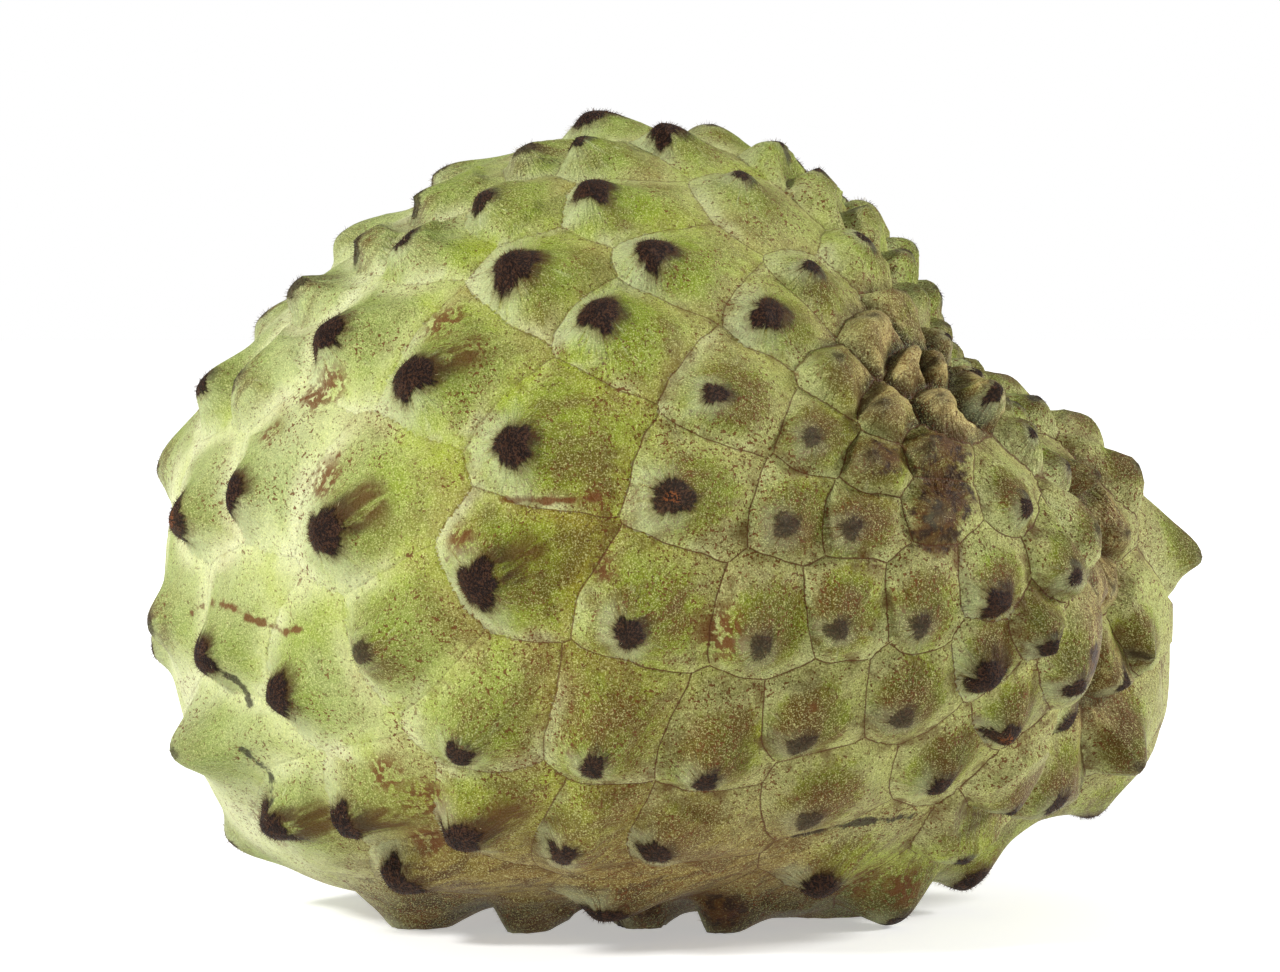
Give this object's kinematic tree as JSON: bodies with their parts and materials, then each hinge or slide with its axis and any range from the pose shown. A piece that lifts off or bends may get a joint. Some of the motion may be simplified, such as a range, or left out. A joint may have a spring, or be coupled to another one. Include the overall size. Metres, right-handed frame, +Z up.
{
  "type": "custard apple",
  "caption": "Heart-shaped green tropical fruit lying on its side, with raised scale-like carpels, dark tips and a sunken stem hollow.",
  "frame": {"origin": "centre of the bounding box in plan, at the level of the floor that the fruit rests on", "axes": "+X from the flower end towards the stem hollow, which is the fruit's longest extent; +Z up; the pictured side faces -Y"},
  "size_m": [0.1281, 0.0966, 0.0964],
  "materials": {
    "skin": "matt green skin, finely mottled with brown"
  },
  "bodies": {
    "root": {"fruit": "skin"}
  },
  "joints": []
}
